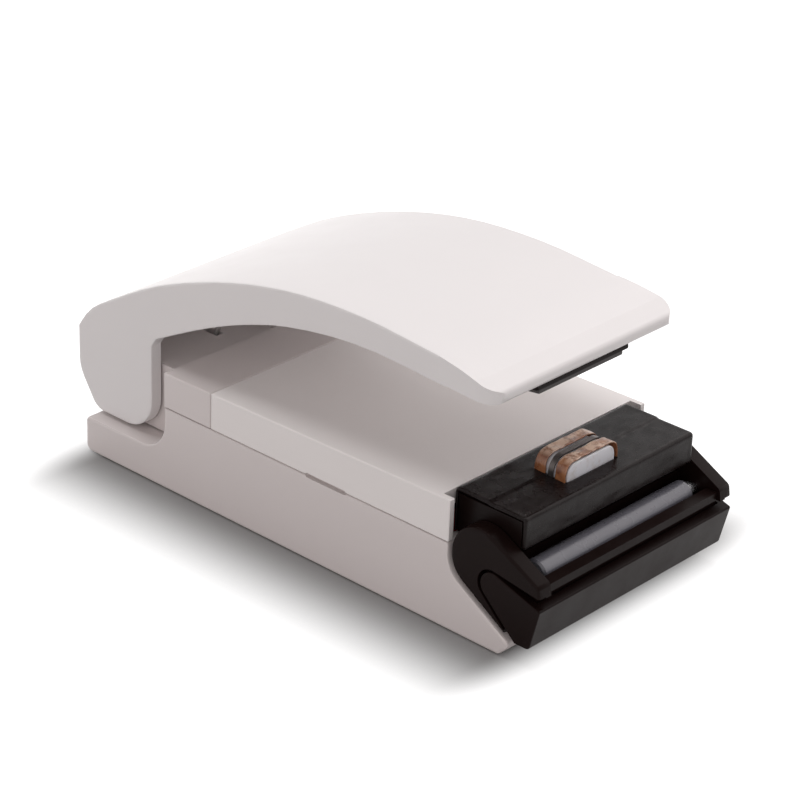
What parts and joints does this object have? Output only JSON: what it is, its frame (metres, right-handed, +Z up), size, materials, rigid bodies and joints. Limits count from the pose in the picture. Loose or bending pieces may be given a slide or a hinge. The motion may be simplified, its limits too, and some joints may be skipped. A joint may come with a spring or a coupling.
{
  "type": "mini bag sealer",
  "caption": "Hand-held mini bag sealer: sprung white lever over a battery housing, with a black head block, taped heating element, guide roller and front cradle.",
  "frame": {"origin": "centre of the part's plan at the underside of the lower shell", "axes": "+Z up, +X towards the sealing end, +Y across the part"},
  "size_m": [0.0973, 0.044, 0.0417],
  "materials": {
    "shell_white": "satin",
    "trim_black": "satin",
    "film_dark": "satin",
    "pad_rubber": "matte",
    "roller_grey": "gloss",
    "element_pale": "satin",
    "tape_amber": "gloss",
    "ribbon_dark": "satin",
    "steel": "satin",
    "cell_label": "satin",
    "switch_black": "matte",
    "wire_red": "satin"
  },
  "bodies": {
    "housing": {"lower_shell": "shell_white", "rear_housing": "shell_white", "hinge_pin": "steel", "return_spring": "steel", "switch_body": "switch_black", "head_block": "trim_black", "head_film": "film_dark", "element_core": "element_pale", "tape_band_rear": "tape_amber", "tape_band_front": "tape_amber", "heater_ribbon": "ribbon_dark", "front_cradle": "trim_black", "cradle_cover": "trim_black", "roller_axle": "steel", "cell_left": "cell_label", "cell_right": "cell_label", "cell_spring_rear": "steel", "cell_spring_front": "steel", "contact_bridge": "steel", "contact_positive": "steel", "contact_negative": "steel", "wire_switch": "wire_red", "wire_head_feed": "wire_red", "wire_head_return": "trim_black", "screw_rear_left": "steel", "screw_rear_right": "steel", "screw_front_left": "steel", "screw_front_right": "steel"},
    "lever": {"lever": "shell_white", "seal_pad": "pad_rubber", "pad_holder": "trim_black"},
    "roller": {"guide_roller": "roller_grey"},
    "battery_cover": {"battery_cover": "shell_white"},
    "switch_plunger": {"switch_plunger": "shell_white"}
  },
  "joints": [
    {"name": "lever_hinge", "type": "hinge", "parent": "housing", "child": "lever", "pos_m": [-0.0381, 0, 0.014], "axis": [0, 1, 0], "range_deg": [0, 7.7], "stiffness_Nm_per_rad": 0.3, "springref_deg": -28.65, "deforming": ["return_spring"]},
    {"name": "roller_spin", "type": "hinge", "parent": "housing", "child": "roller", "pos_m": [0.0433, 0, 0.012], "axis": [0, 1, 0], "continuous": true},
    {"name": "battery_cover_lift", "type": "slide", "parent": "housing", "child": "battery_cover", "axis": [0, 0, 1], "range_m": [0, 0.0055]},
    {"name": "switch_press", "type": "slide", "parent": "housing", "child": "switch_plunger", "axis": [0, 0, -1], "range_m": [0, 0.0012]}
  ],
  "couplings": [
    {"joint": "switch_press", "follows": "lever_hinge", "m_per_rad": 0.0084}
  ]
}
